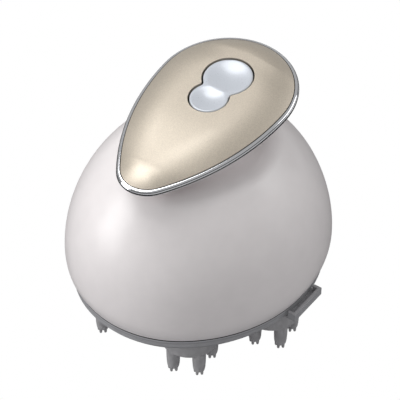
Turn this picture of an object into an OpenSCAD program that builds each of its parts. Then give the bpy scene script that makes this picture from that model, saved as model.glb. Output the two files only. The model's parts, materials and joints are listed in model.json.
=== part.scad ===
// Electric scalp massager: an oval battery body with a mushroom handle and a
// head unit that pulls off. Six finger discs turn together under the head.
// X runs along the handle with its wide end at +X, Z is up, the release tab
// faces -Y and the finger tips stand on z = 0. All lengths are millimetres.

/* [Body] */
// Length of the oval body along the handle
body_l = 124.4; // [116:0.2:140]
// Width of the oval body across the handle
body_w = 111.4; // [104:0.2:124]
// Height of the seam under the dome above the finger tips
seam_z = 30.2; // [28:0.1:36]
// Height of the widest line of the dome above the seam
belly_h = 8.8; // [6:0.1:11]
// Height of the dome curve above its widest line
dome_rise = 62.3; // [56:0.1:66]
// Fullness of the dome curve, two being an ellipse
dome_n = 1.86; // [1.7:0.02:2.4]
// Share of the dome inset that both axes of the oval take
dome_share = 0.92; // [0.88:0.01:1]
// How far the dome draws in from its widest line to the seam
seam_in = 2.4; // [1:0.1:4]
// Wall thickness of the dome
wall = 2.4; // [1.8:0.1:3]
// Inset of the neck under the handle from the body outline
neck_in = 39; // [37:0.5:42]
// Height of the top of the neck
neck_top = 96; // [94:0.2:104]
// Height of the shoulder round the neck
shoulder_z = 89; // [87:0.2:94]

/* [Handle] */
// Distance from the body axis to the wide tip of the handle
tip_wide = 48.9; // [44:0.1:54]
// Distance from the body axis to the narrow tip of the handle
tip_narrow = 47.2; // [42:0.1:52]
// Half of the greatest width of the handle, also the radius of its wide end
handle_hw = 30.9; // [28:0.2:34]
// Height of the lower edge of the chrome bezel
bezel_z = 100.8; // [99:0.2:110]
// Crown of the gold panel above its own rim
panel_crown = 4; // [2:0.2:6]
// Thickness of the gold panel
panel_t = 1.8; // [1.4:0.1:2.4]
// Rise of the handle toward its wide end
handle_tilt = 8; // [0:0.5:12]

/* [Button] */
// Radius of the large lobe opening in the panel
lobe_l_r = 11; // [9:0.1:13]
// Radius of the small lobe opening in the panel
lobe_s_r = 8.7; // [7:0.1:11]
// Position of the large lobe along the handle
lobe_l_x = 21.2; // [18:0.1:28]
// Position of the small lobe along the handle
lobe_s_x = 7.5; // [2:0.1:12]
// Fillet radius at the waist between the lobes
waist_r = 1.4; // [0.8:0.1:3]
// Gap between button and panel
button_gap = 0.6; // [0.4:0.05:1]
// Depth of the dish in each lobe
dish_d = 1.1; // [0.5:0.1:1.6]

/* [Head unit] */
// Radius of the circle the disc axes stand on
disc_path_r = 38.4; // [36:0.1:40]
// Radius of one finger disc
disc_r = 12.5; // [11:0.1:13.5]
// Height of the flat face of a disc above the finger tips
disc_z = 12.2; // [11:0.2:18]
// Number of fingers on a disc
fingers = 5; // [3:1:7]
// Radius of the circle the fingers of a disc stand on
finger_path_r = 9.5; // [8:0.1:10]
// Radius of a finger at its root
finger_r = 3; // [2.4:0.1:3.4]
// Turn of the fingers on each disc at rest
finger_phase = 25; // [0:0.5:72]
// Number of small nubs in the crown of a finger
nubs = 5; // [3:1:8]
// Length of the release tab along the rim
tab_l = 20.4; // [14:0.2:28]
// How far the release tab stands out from the rim
tab_out = 3.9; // [3:0.2:7]

/* [Gear train] */
// Module of the sun, disc and small idler gears
mod_low = 0.8; // [0.6:0.1:1]
// Module of the motor pinion and idler wheel
mod_high = 0.5; // [0.4:0.1:0.6]
// Teeth of the sun gear
sun_z = 64; // [48:2:72]
// Teeth of each disc gear
disc_gear_z = 32; // [24:2:36]
// Teeth of the small idler gear
idler_small_z = 14; // [14:1:18]
// Teeth of the idler wheel
idler_wheel_z = 56; // [48:2:64]
// Teeth of the motor pinion
pinion_z = 14; // [14:1:18]

/* [Fits] */
// Radial clearance of a shaft that turns in its bore
run_fit = 0.06; // [0.03:0.01:0.1]
// Clearance of a part seated against another
seat_fit = 0.05; // [0.02:0.01:0.1]
// Tooth thinning that gives the gears their backlash
backlash = 0.1; // [0.06:0.02:0.2]

/* [Hidden] */

// Body outline made of four tangent arcs that join on the slope of a 4:3 triangle
half_l = body_l / 2;
half_w = body_w / 2;
body_k = (half_l - half_w) / 2;
end_c = 4 * body_k;
side_c = 3 * body_k;
body_end_r = half_l - end_c;
side_r = body_end_r + 5 * body_k;
join_x = end_c + body_end_r * 0.8;

// Handle outline made of four tangent arcs that join on the slope of a 3:4 triangle
handle_k = (tip_narrow + tip_wide) / 2 - handle_hw;
wide_x = tip_wide - handle_hw;
narrow_x = wide_x - 3 * handle_k;
narrow_r = handle_hw - handle_k;
handle_side_r = handle_hw + 4 * handle_k;
flat_in = narrow_r - 1;

// Heights
belly_z = seam_z + belly_h;
base_z = seam_z - 2;
floor_z = seam_z + 1;
rim_z = base_z - seat_fit;
slab_z = base_z - 6.5;
slab_top = slab_z + 2.5;
gear_z = seam_z + 6;
sun_h = 7.6;
wheel_z = gear_z + 8.2;
chassis_z = seam_z + 18;
deck_z = chassis_z + 2.5;
contact_z = seam_z + 14.5;

// Plan positions
disc_dirs = [for (i = [0:5]) 60 * i - 90];
gap_dirs = [60, 120, 240, 300];
post_r = 33;
boss_r = 48;
socket_x = 47;
sun_r = sun_z * mod_low / 2;
idler_x = sun_r + idler_small_z * mod_low / 2;
motor_x = idler_x - (idler_wheel_z + pinion_z) * mod_high / 2;
motor_r = 12;
shaft_r = 3;
hex_r = 2.9;
cell_y = 24.5;
cell_z = deck_z + 10.5;
cell_r = 9.2;
board_y = -25.2;
tap_x = -23;
tap_z = deck_z + 10;
tap_r = 8;

// Button geometry
lobe_d = lobe_l_x - lobe_s_x;
waist_x = lobe_l_x - (lobe_d * lobe_d + lobe_l_r * lobe_l_r - lobe_s_r * lobe_s_r) / (2 * lobe_d);
tray_z = neck_top;
tray_floor = tray_z + 1.8;
seat_z = bezel_z + 1.2;
panel_rim = bezel_z + 3;
panel_top = panel_rim + panel_crown;
pin_z = panel_top - panel_t - 1.5;
pin_r = 0.8;
foot_x = 8;
boot_z = pin_z - 3;
board_top = boot_z - 2.1;

module at_dirs(dirs, r) {
  for (a = dirs) translate([r * cos(a), r * sin(a), 0]) children();
}

// Turns a section about [x, y] at radius r and keeps the wedge between two points
module sector(x, y, r, p, q) translate([x, y, 0]) intersection() {
  rotate_extrude($fn = 240) translate([r, 0]) children();
  translate([0, 0, -100]) linear_extrude(300) polygon([[0, 0], p, q]);
}

// Sweeps a section around the body outline; x = 0 is the widest outline
module body_sweep() {
  for (s = [0, 180]) rotate([0, 0, s]) {
    sector(end_c, 0, body_end_r, [200, -150], [200, 150]) children();
    sector(0, -side_c, side_r, [200, 150], [-200, 150]) children();
  }
}

// Body outline drawn in by an inset
module body_2d(in = 0) {
  intersection() {
    translate([0, -side_c]) circle(r = side_r - in, $fn = 240);
    translate([0, side_c]) circle(r = side_r - in, $fn = 240);
    square([2 * (join_x - in * 0.8), body_w], center = true);
  }
  for (s = [-1, 1]) translate([s * end_c, 0]) circle(r = body_end_r - in, $fn = 180);
}

module body_slab(z, h, in) translate([0, 0, z]) linear_extrude(h) body_2d(in);

// Sweeps a section around the handle outline
module egg_sweep() {
  sector(wide_x, 0, handle_hw, [0, -200], [300, 0]) children();
  sector(wide_x, 0, handle_hw, [300, 0], [0, 200]) children();
  sector(narrow_x, 0, narrow_r, [-150, 200], [-150, -200]) children();
  sector(wide_x, handle_hw - handle_side_r, handle_side_r, [0, 200], [-150, 200]) children();
  sector(wide_x, handle_side_r - handle_hw, handle_side_r, [-150, -200], [0, -200]) children();
}

// Handle outline drawn in by an inset, as a flat slab
module egg_slab(z, h, in = flat_in - 0.5) {
  span = wide_x - narrow_x + (narrow_r - in) * 0.6;
  translate([0, 0, z]) linear_extrude(h) {
    intersection() {
      translate([wide_x, handle_hw - handle_side_r]) circle(r = handle_side_r - in, $fn = 360);
      translate([wide_x, handle_side_r - handle_hw]) circle(r = handle_side_r - in, $fn = 360);
      translate([wide_x - span, -handle_hw]) square([span, 2 * handle_hw]);
    }
    translate([wide_x, 0]) circle(r = handle_hw - in, $fn = 144);
    translate([narrow_x, 0]) circle(r = narrow_r - in, $fn = 96);
  }
}

// Outline of the two lobes, grown by g, with a fillet on each side of the waist
module peanut_2d(g = 0) {
  rl = lobe_l_r + g;
  rs = lobe_s_r + g;
  f = waist_r - g;
  fx = (lobe_d * lobe_d + pow(rl + f, 2) - pow(rs + f, 2)) / (2 * lobe_d);
  fy = sqrt(pow(rl + f, 2) - fx * fx);
  translate([lobe_l_x, 0]) circle(r = rl, $fn = 96);
  translate([lobe_s_x, 0]) circle(r = rs, $fn = 96);
  if (f > 0.1) difference() {
    polygon([[lobe_l_x, 0], [lobe_l_x - fx, fy], [lobe_s_x, 0], [lobe_l_x - fx, -fy]]);
    for (s = [-1, 1]) translate([lobe_l_x - fx, s * fy]) circle(r = f, $fn = 48);
  }
}

// Involute tooth flanks as half angles at given radii
function base_r(m, z) = m * z / 2 * cos(20);
function roll(m, z, r) = r <= base_r(m, z) ? 0 : sqrt(pow(r / base_r(m, z), 2) - 1);
function flank(m, z, r) = 90 / z - backlash / (m * z) * 90 / PI + 0.8539
  - (roll(m, z, r) * 180 / PI - atan(roll(m, z, r)));
module gear_2d(m, z) {
  rr = m * z / 2 - 1.05 * m;
  ra = m * z / 2 + 0.8 * m;
  radii = [for (i = [0:4]) rr + (ra - rr) * i / 4];
  polygon([for (k = [0:z - 1]) each concat(
    [for (i = [0:4]) let (a = k * 360 / z - flank(m, z, radii[i])) radii[i] * [cos(a), sin(a)]],
    [for (i = [4:-1:0]) let (a = k * 360 / z + flank(m, z, radii[i])) radii[i] * [cos(a), sin(a)]]
  )]);
}

// Gear phases: a tooth of one gear meets a space of the other
function mesh(z1, p1, dir, z2) = dir + 180 + (z1 * (dir - p1) - 180) / z2;
sun_p = 0;
spindle_p = mesh(sun_z, sun_p, disc_dirs[0], disc_gear_z);
idler_p = mesh(sun_z, sun_p, 0, idler_small_z);
pinion_p = mesh(idler_wheel_z, idler_p, 180, pinion_z);

// Dome section: outer curve, fillet into the neck, flare, inner curve
dome_pow = 2 / dome_n;
fillet_t = 51;
function dome_pt(t, w) = [
  -w - dome_share * (half_l - w) * (1 - pow(cos(t), dome_pow)),
  belly_z + (dome_rise - w) * pow(sin(t), dome_pow)
];
function bez(a, b, c, t) = (1 - t) * (1 - t) * a + 2 * t * (1 - t) * b + t * t * c;
module dome_section() {
  oo = dome_pt(fillet_t, 0);
  ii = dome_pt(fillet_t, wall);
  sh = [-neck_in + 8.5, shoulder_z];
  si = sh - [wall, wall];
  rise = [0, 14];
  steps = 20;
  polygon(concat(
    [for (i = [0:4]) let (t = 1 - i / 5) [-seam_in * t * t, belly_z - belly_h * t]],
    [for (i = [0:steps]) dome_pt(fillet_t * i / steps, 0)],
    [for (i = [1:5]) bez(oo, [oo[0] - 3.6, sh[1]], sh, i / 5)],
    [for (i = [1:5]) bez(sh, [-neck_in, sh[1]], [-neck_in, sh[1] + 6], i / 5)],
    [[-neck_in, sh[1]] + rise, [-neck_in - wall, sh[1]] + rise],
    [for (i = [5:-1:0]) bez(si, [-neck_in - wall, si[1]], [-neck_in - wall, si[1] + 6], i / 5)],
    [for (i = [4:-1:1]) bez(ii, [ii[0] - 3.2, si[1]], si, i / 5)],
    [for (i = [steps:-1:2]) dome_pt(fillet_t * i / steps, wall)],
    [[-wall - 0.9, seam_z + 5.8], [-wall - 2.4, seam_z + 5], [-wall - 2.4, seam_z]]
  ));
}

// Puts a handle part, drawn level, at the rise of the handle
module on_handle() translate([0, 0, bezel_z + 1.3]) rotate([0, -handle_tilt, 0])
  translate([0, 0, -bezel_z - 1.3]) children();

module dome_shell() color("#e9e5e4") difference() {
  union() {
    body_sweep() dome_section();
    on_handle() body_slab(neck_top - wall, wall, neck_in + 1.6);
    at_dirs(gap_dirs, boss_r) translate([0, 0, seam_z + 5])
      cylinder(r = 3.2, h = 18, $fn = 48);
    for (a = gap_dirs) rotate([0, 0, a]) translate([boss_r, -1, seam_z + 6])
      cube([7.1, 2, 15]);
    translate([-10, half_w - 5.2, contact_z - 3.5]) cube([20, 3.1, 7.2]);
  }
  on_handle() translate([-40, -40, neck_top]) cube([80, 80, 20]);
  at_dirs(gap_dirs, boss_r) translate([0, 0, seam_z + 4])
    cylinder(r = 1.25 + seat_fit, h = 12, $fn = 48);
  on_handle() translate([0, 0, neck_top - 6]) cylinder(r = 5, h = 12, $fn = 64);
  on_handle() for (x = [-11.5, 10], y = [-8.2, 8.2]) translate([x, y, neck_top - 6])
    cylinder(r = 1.15, h = 12, $fn = 48);
  for (x = [-6, 6]) translate([x, half_w - 9, contact_z]) rotate([-90, 0, 0])
    cylinder(r = 1.5 + seat_fit, h = 12, $fn = 48);
}

module base_plate() color("#8a8a8c") difference() {
  union() {
    body_slab(base_z, 2, seam_in + 0.3);
    body_slab(seam_z - 0.5, floor_z - seam_z + 0.5, wall + 3.4);
    difference() {
      body_slab(seam_z - 0.5, 5.2, wall + 2.4 + seat_fit);
      body_slab(seam_z - 1, 8, wall + 4.8);
    }
    at_dirs(disc_dirs, disc_path_r) translate([0, 0, seam_z])
      cylinder(r = 5.6, h = gear_z - seam_z - 0.1, $fn = 64);
    at_dirs(gap_dirs, post_r) translate([0, 0, seam_z])
      cylinder(r = 3.4, h = chassis_z - seam_z, $fn = 48);
    at_dirs(gap_dirs, boss_r) translate([0, 0, seam_z])
      cylinder(r = 3.6, h = 5 - seat_fit, $fn = 48);
    for (s = [-1, 1]) translate([s * socket_x, 0, seam_z])
      cylinder(r = 4.2, h = 5, $fn = 48);
    translate([0, 0, seam_z]) cylinder(r = 4.5, h = gear_z - seam_z - 0.1, $fn = 64);
    translate([0, 0, seam_z]) cylinder(r = 3, h = wheel_z - seam_z - 0.4, $fn = 64);
    translate([idler_x, 0, seam_z]) cylinder(r = 3, h = gear_z + 4.4 - seam_z, $fn = 48);
    translate([idler_x, 0, seam_z]) cylinder(r = 1.5, h = chassis_z + 2 - seam_z, $fn = 48);
    for (a = [0:30:330]) rotate([0, 0, a + 15]) translate([5, -0.8, seam_z])
      cube([22, 1.6, 3]);
  }
  difference() {
    body_slab(seam_z + 1.6, 1.5, wall + 1.7);
    body_slab(seam_z + 1, 3, wall + 3.7);
  }
  at_dirs(disc_dirs, disc_path_r) {
    translate([0, 0, base_z - 1]) cylinder(r = shaft_r + run_fit, h = 12, $fn = 64);
    translate([0, 0, base_z - 1]) cylinder(r = 4.6, h = 3, $fn = 64);
  }
  at_dirs(gap_dirs, boss_r) {
    translate([0, 0, base_z - 1]) cylinder(r = 1.5, h = 12, $fn = 48);
    translate([0, 0, base_z - 1]) cylinder(r = 2.6, h = 3, $fn = 48);
  }
  at_dirs(gap_dirs, post_r) translate([0, 0, chassis_z - 9])
    cylinder(r = 1 + seat_fit, h = 10, $fn = 48);
  for (s = [-1, 1]) translate([s * socket_x, 0, base_z - 1])
    cylinder(r = 2.5, h = 7.2, $fn = 48);
}

module base_seal() color("#3a3a3c") difference() {
  body_slab(seam_z + 1.7, 1.3, wall + 2.4 + seat_fit);
  body_slab(seam_z + 1, 3, wall + 3.7);
}

module chassis() color("#c9c9c6") difference() {
  union() {
    translate([0, 0, chassis_z]) cylinder(r = 44.4, h = 2.5, $fn = 144);
    translate([motor_x, 0, deck_z - 1]) cylinder(r = motor_r + 1.8, h = 9, $fn = 96);
    for (x = [-24, 22]) translate([x, cell_y - 10, deck_z - 1]) cube([3, 20, 9.5]);
    for (x = [-22, 22]) translate([x - 2.5, board_y - 2.6, deck_z - 1]) cube([5, 5.2, 7.5]);
    translate([tap_x - 9.6, -8, deck_z - 1]) cube([19.2, 16, 9.5]);
  }
  at_dirs(disc_dirs, disc_path_r) translate([0, 0, chassis_z - 1])
    cylinder(r = 1.5 + run_fit, h = 5, $fn = 48);
  at_dirs(gap_dirs, post_r) translate([0, 0, chassis_z - 1])
    cylinder(r = 1.25, h = 5, $fn = 48);
  translate([idler_x, 0, chassis_z - 1]) cylinder(r = 1.5 + seat_fit, h = 5, $fn = 48);
  translate([motor_x, 0, deck_z]) cylinder(r = motor_r + seat_fit, h = 12, $fn = 96);
  translate([motor_x, 0, chassis_z - 1]) cylinder(r = 3 + seat_fit, h = 5, $fn = 64);
  for (s = [-1, 1]) translate([motor_x, 8 * s, chassis_z - 1])
    cylinder(r = 1.1, h = 5, $fn = 48);
  translate([-40, cell_y, cell_z]) rotate([0, 90, 0])
    cylinder(r = cell_r + seat_fit, h = 80, $fn = 96);
  translate([-30, board_y - 0.8 - seat_fit, deck_z]) cube([60, 1.6 + 2 * seat_fit, 20]);
  translate([tap_x, -20, tap_z]) rotate([-90, 0, 0])
    cylinder(r = tap_r + seat_fit, h = 40, $fn = 96);
  for (a = [30:60:330]) rotate([0, 0, a]) translate([17, 0, chassis_z - 1])
    cylinder(r = a == 30 || a == 330 ? 0.6 : 2, h = 5, $fn = 32);
}

module sun_gear() color("#f0ead8") translate([0, 0, gear_z]) difference() {
  union() {
    rotate([0, 0, sun_p]) linear_extrude(sun_h) difference() {
      gear_2d(mod_low, sun_z);
      circle(r = 21, $fn = 96);
    }
    cylinder(r = 22, h = 2.4, $fn = 96);
    cylinder(r = 6, h = sun_h, $fn = 64);
    for (a = [0:60:300]) rotate([0, 0, a]) translate([4, -0.8, 0]) cube([18, 1.6, 4.6]);
  }
  translate([0, 0, -1]) cylinder(r = 3 + run_fit, h = 12, $fn = 64);
  for (a = [30:60:330]) rotate([0, 0, a]) translate([14, 0, -1])
    cylinder(r = 4, h = 8, $fn = 48);
}

module idler_gear() color("#e6e0cf") translate([idler_x, 0, 0]) difference() {
  union() {
    translate([0, 0, gear_z + 4.5]) rotate([0, 0, idler_p])
      linear_extrude(wheel_z - gear_z - 4.5 + 0.5) gear_2d(mod_low, idler_small_z);
    translate([0, 0, wheel_z]) rotate([0, 0, idler_p]) linear_extrude(2.6)
      gear_2d(mod_high, idler_wheel_z);
    translate([0, 0, wheel_z + 2]) cylinder(r = 4, h = 1.5, $fn = 48);
  }
  translate([0, 0, gear_z]) cylinder(r = 1.5 + run_fit, h = 20, $fn = 48);
  for (a = [0:60:300]) rotate([0, 0, a]) translate([9.4, 0, wheel_z - 1])
    cylinder(r = 2.4, h = 6, $fn = 32);
}

module motor() color("#b8b9bb") translate([motor_x, 0, 0]) {
  translate([0, 0, deck_z]) cylinder(r = motor_r, h = 30, $fn = 96);
  translate([0, 0, deck_z - 1.5]) cylinder(r = 3, h = 2, $fn = 64);
  translate([0, 0, deck_z + 29.5]) cylinder(r = 4.5, h = 2.5, $fn = 64);
  for (s = [-1, 1]) translate([s * 8, -1.2, deck_z + 29.5]) cube([0.6, 2.4, 4]);
}

// The pinion turns on its own steel shaft below the motor
module motor_pinion() color("#c2a15a") translate([motor_x, 0, 0]) {
  translate([0, 0, wheel_z - 0.4]) rotate([0, 0, pinion_p]) linear_extrude(3.2)
    gear_2d(mod_high, pinion_z);
  translate([0, 0, wheel_z - 1]) cylinder(r = 1, h = deck_z - 1.7 - wheel_z + 1, $fn = 48);
}

// Disc gear with its journals and the hex that drives a finger disc
module spindle() {
  rotate([0, 0, spindle_p]) translate([0, 0, gear_z]) linear_extrude(4)
    gear_2d(mod_low, disc_gear_z);
  translate([0, 0, base_z]) cylinder(r = shaft_r, h = gear_z - base_z + 0.5, $fn = 64);
  translate([0, 0, base_z - 5.4]) cylinder(r = hex_r, h = 6, $fn = 6);
  translate([0, 0, gear_z + 3]) cylinder(r = 2.4, h = chassis_z - gear_z - 3.1, $fn = 48);
  translate([0, 0, gear_z + 3]) cylinder(r = 1.5, h = deck_z - gear_z - 3.2, $fn = 48);
}

module spindle_at(i) color("#e6e0cf")
  translate([disc_path_r * cos(disc_dirs[i]), disc_path_r * sin(disc_dirs[i]), 0]) spindle();
module spindle_1() spindle_at(0);
module spindle_2() spindle_at(1);
module spindle_3() spindle_at(2);
module spindle_4() spindle_at(3);
module spindle_5() spindle_at(4);
module spindle_6() spindle_at(5);

module spindle_seals() color("#303032") at_dirs(disc_dirs, disc_path_r)
  translate([0, 0, base_z + 0.2]) difference() {
    cylinder(r = 4.6 - seat_fit, h = 1.75, $fn = 64);
    translate([0, 0, -1]) cylinder(r = shaft_r + run_fit, h = 4, $fn = 64);
    translate([0, 0, -0.1]) cylinder(r = 3.7, h = 0.8, $fn = 64);
  }

module tap_motor() color("#a9abad") {
  translate([tap_x, -9, tap_z]) rotate([-90, 0, 0]) cylinder(r = tap_r, h = 20, $fn = 96);
  translate([tap_x, -10.4, tap_z]) rotate([-90, 0, 0]) cylinder(r = 2.5, h = 2, $fn = 48);
}

module tap_weight() color("#8f8a80") translate([tap_x, -10.6, tap_z]) rotate([90, 0, 0]) {
  cylinder(r = 1, h = 6.5, $fn = 48);
  translate([0, 0, 1]) cylinder(r = 2.4, h = 5, $fn = 48);
  translate([0, 0, 1]) linear_extrude(5) intersection() {
    circle(r = 6.8, $fn = 72);
    translate([-7, -7]) square([14, 7]);
  }
}

module battery() color("#3c6ea8") translate([-32, cell_y, cell_z]) rotate([0, 90, 0]) {
  cylinder(r = cell_r, h = 64, $fn = 96);
  translate([0, 0, 63.5]) cylinder(r = 3, h = 1.6, $fn = 48);
}

module main_board() color("#2f6b3f") {
  translate([-26, board_y - 0.8, deck_z + 0.05]) cube([52, 1.6, 30]);
  translate([6, board_y + 0.7, deck_z + 14]) cube([9, 1.8, 9]);
  translate([-8, board_y + 0.7, deck_z + 20]) rotate([-90, 0, 0])
    cylinder(r = 3, h = 5, $fn = 48);
  translate([-20, board_y + 0.7, deck_z + 23]) cube([8, 4, 5]);
  translate([-5, board_y + 0.7, deck_z + 9]) cube([5, 1.4, 4]);
}

module charge_contacts() color("#d8b65c") for (x = [-6, 6])
  translate([x, 0, contact_z]) rotate([-90, 0, 0]) {
    translate([0, 0, half_w - 6.8]) cylinder(r = 1.5, h = 6.9, $fn = 48);
    translate([0, 0, half_w - 6.6]) cylinder(r = 2.6, h = 1.4 - seat_fit, $fn = 48);
  }

module tray_section() polygon([
  [-0.9, bezel_z - 0.1], [-1.95, bezel_z - 0.1], [-1.95, seat_z], [-3.6, seat_z],
  [-3.6, seat_z - 1.8], [-6, tray_floor + 1.3], [-9.5, tray_floor + 0.4],
  [-11.6, tray_floor], [-flat_in, tray_floor], [-flat_in, tray_z], [-11.6, tray_z],
  [-9.4, tray_z + 0.4], [-6.6, tray_z + 1.2], [-4, tray_z + 2.4], [-2.2, tray_z + 3.6],
  [-1.1, tray_z + 4.6]
]);

module handle_tray() on_handle() color("#dedbda") difference() {
  union() {
    egg_sweep() tray_section();
    egg_slab(tray_z, tray_floor - tray_z);
    translate([0, 0, tray_floor - 0.5]) linear_extrude(boot_z - seat_fit - tray_floor + 0.5)
      difference() {
        peanut_2d(2.8);
        peanut_2d(1.6);
      }
    for (x = [-11.5, 10], y = [-8.2, 8.2]) translate([x, y, tray_z])
      cylinder(r = 2, h = 5.2, $fn = 48);
    for (x = [waist_x - foot_x - 3, waist_x + foot_x + 3.4]) translate([x, 0, tray_z])
      cylinder(r = 1.5, h = board_top - 1.2 - seat_fit - tray_z, $fn = 48);
  }
  for (x = [-11.5, 10], y = [-8.2, 8.2]) translate([x, y, tray_z - 1])
    cylinder(r = 1 + seat_fit, h = 6, $fn = 48);
  translate([0, 0, tray_z - 1]) cylinder(r = 3.4, h = 4, $fn = 64);
}

// Ring with a rounded outer face, carried by a flat core inside its section
module chrome_bezel() on_handle() color("#d9dadc") {
  egg_sweep() polygon([
    [-1.9, bezel_z + 2.8], [-1.6, bezel_z + 2.8], [-1.2, bezel_z + 2.74],
    [-0.75, bezel_z + 2.56], [-0.32, bezel_z + 2.2], [-0.07, bezel_z + 1.75],
    [0, bezel_z + 1.3], [-0.1, bezel_z + 0.8], [-0.4, bezel_z + 0.35],
    [-0.9, bezel_z], [-1.9, bezel_z]
  ]);
  difference() {
    egg_slab(bezel_z + 0.6, 1.5, 0.6);
    egg_slab(bezel_z, 3, 1.5);
  }
}

module panel_section() {
  step = (flat_in - 2.95) / 12;
  polygon(concat(
    [[-1.95, seat_z + seat_fit]],
    [for (i = [0:12]) [-1.95 - step * i, panel_rim + panel_crown * sin(7.5 * i)]],
    [[-flat_in, panel_top], [-flat_in, panel_top - panel_t]],
    [for (i = [12:-1:2]) [-1.95 - step * i, panel_rim - panel_t + panel_crown * sin(7.5 * i)]],
    [[-3.7, seat_z + seat_fit]]
  ));
}

module gold_panel() on_handle() color("#c8b48c") difference() {
  union() {
    egg_sweep() panel_section();
    egg_slab(panel_top - panel_t, panel_t);
    for (s = [-1, 1]) translate([waist_x - 1.8, s * 10.2 - 1, pin_z - 1.3])
      cube([3.6, 2, 3]);
  }
  translate([0, 0, panel_top - panel_t - 1]) linear_extrude(4) peanut_2d(0);
  translate([waist_x, -15, pin_z]) rotate([-90, 0, 0])
    cylinder(r = pin_r + 0.02, h = 30, $fn = 48);
}

module rocker_button() on_handle() color("#cfd6de") difference() {
  union() {
    translate([0, 0, pin_z - 0.7]) linear_extrude(panel_top - 0.2 - pin_z + 0.7)
      peanut_2d(-button_gap);
    translate([waist_x, -7, pin_z]) rotate([-90, 0, 0]) cylinder(r = 1.8, h = 14, $fn = 48);
    for (s = [-1, 1]) translate([waist_x + s * foot_x, 0, pin_z - 1.3])
      cylinder(r = 1.8, h = 2, $fn = 48);
  }
  translate([lobe_l_x, 0, panel_top - 0.2 - dish_d + 45]) sphere(r = 45, $fn = 200);
  translate([lobe_s_x, 0, panel_top - 0.2 - dish_d + 30]) sphere(r = 30, $fn = 200);
  translate([waist_x, -15, pin_z]) rotate([-90, 0, 0])
    cylinder(r = pin_r + run_fit, h = 30, $fn = 48);
}

module rocker_pin() on_handle() color("#b0b2b5") translate([waist_x, -11.1, pin_z]) rotate([-90, 0, 0])
  cylinder(r = pin_r, h = 22.2, $fn = 48);

module switch_boot() on_handle() color("#4a4a4d") difference() {
  union() {
    translate([0, 0, boot_z]) linear_extrude(0.6) peanut_2d(2.8);
    for (s = [-1, 1]) translate([waist_x + s * foot_x, 0, boot_z])
      cylinder(r = 3.2, h = 1.2, $fn = 48);
  }
  for (s = [-1, 1]) translate([waist_x + s * foot_x, 0, boot_z - 1])
    cylinder(r = 2.4, h = 1.5, $fn = 48);
}

module switch_board() on_handle() color("#2f6b3f") translate([waist_x - 12.4, -6, board_top - 1.2])
  cube([25, 12, 1.2]);

module tact_switches() on_handle() color("#2b2b2d") for (s = [-1, 1])
  translate([waist_x + s * foot_x, 0, board_top]) {
    translate([-3, -3, 0]) cube([6, 6, 1.6]);
    cylinder(r = 1.7, h = 2.4, $fn = 48);
  }

// Pan head screw pointing up from z = 0, head below
module screw(r, len, hr, hh) {
  cylinder(r = r, h = len, $fn = 48);
  translate([0, 0, -hh]) difference() {
    cylinder(r = hr, h = hh, $fn = 48);
    for (a = [0, 90]) rotate([0, 0, a]) translate([-hr * 0.6, -0.25, -0.1])
      cube([hr * 1.2, 0.5, 0.6]);
  }
}

module case_screws() color("#9b9da0") at_dirs(gap_dirs, boss_r)
  translate([0, 0, seam_z - seat_fit]) screw(1.25, 15, 2.4, 1.5);
module chassis_screws() color("#9b9da0") at_dirs(gap_dirs, post_r)
  translate([0, 0, deck_z + seat_fit]) mirror([0, 0, 1]) screw(1, 10, 2, 1.3);
module motor_screws() color("#9b9da0") for (s = [-1, 1])
  translate([motor_x, 8 * s, chassis_z - seat_fit]) screw(1, 2.4, 1.8, 0.9);
module tray_screws() on_handle() color("#9b9da0") for (x = [-11.5, 10], y = [-8.2, 8.2])
  translate([x, y, neck_top - wall - seat_fit]) screw(1, 7, 1.8, 1.3);

// Head plate section: lip, curved shoulder and flat edge of the slab
module head_section() polygon([
  [-12, slab_z], [-8.6, slab_z], [-6.8, slab_z + 0.4], [-5.2, slab_z + 1.4],
  [-4, slab_z + 2.8], [-3.2, slab_z + 4.3], [-2.7, slab_z + 4.6], [-2.7, rim_z],
  [-4.5, rim_z], [-4.5, slab_z + 4.8], [-5.4, slab_z + 3.6], [-6.8, slab_z + 2.8],
  [-8.6, slab_top], [-12, slab_top]
]);

module head_plate() color("#8f8f91") difference() {
  union() {
    body_sweep() head_section();
    body_slab(slab_z, 2.5, 11.5);
    for (s = [-1, 1]) translate([s * socket_x, 0, slab_top - 0.5])
      cylinder(r = 2.5 - seat_fit, h = 9.5, $fn = 48);
    at_dirs(disc_dirs, disc_path_r) translate([0, 0, slab_top - 0.5])
      difference() {
        cylinder(r = 10.4, h = 1.7, $fn = 96);
        translate([0, 0, -1]) cylinder(r = 9, h = 4, $fn = 96);
      }
    release_tab();
  }
  at_dirs(disc_dirs, disc_path_r) translate([0, 0, slab_z - 1])
    cylinder(r = 6 + run_fit, h = 5, $fn = 96);
}

// Finger ledge with a raised outer lip and two end walls
module release_tab() {
  y0 = half_w - 3.4;
  y1 = half_w - 2.6 + tab_out;
  difference() {
    translate([-tab_l / 2, -y1, rim_z - 2.6]) cube([tab_l, y1 - y0, 3.8]);
    translate([1.3 - tab_l / 2, 1.4 - y1, rim_z - 1.5]) cube([tab_l - 2.6, 12, 6]);
    for (s = [-1, 1]) translate([s * tab_l / 2, -y1 + tab_out + 2.6, rim_z - 1.5])
      cylinder(r = tab_out - 1, h = 6, $fn = 64);
  }
}

module finger() {
  rotate_extrude($fn = 48) polygon([
    [0, 1.9], [1.4, 1.8], [2.1, 2], [2.5, 2.7], [finger_r - 0.28, 4.2],
    [finger_r - 0.1, 7.6], [finger_r, disc_z + 1], [0, disc_z + 1]
  ]);
  for (i = [0:nubs - 1]) rotate([0, 0, i * 360 / nubs + 18]) translate([1.75, 0, 0])
    rotate_extrude($fn = 24) polygon([
      [0, 0], [0.3, 0], [0.52, 0.25], [0.62, 0.8], [0.72, 2.6], [0, 2.6]
    ]);
}

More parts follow.
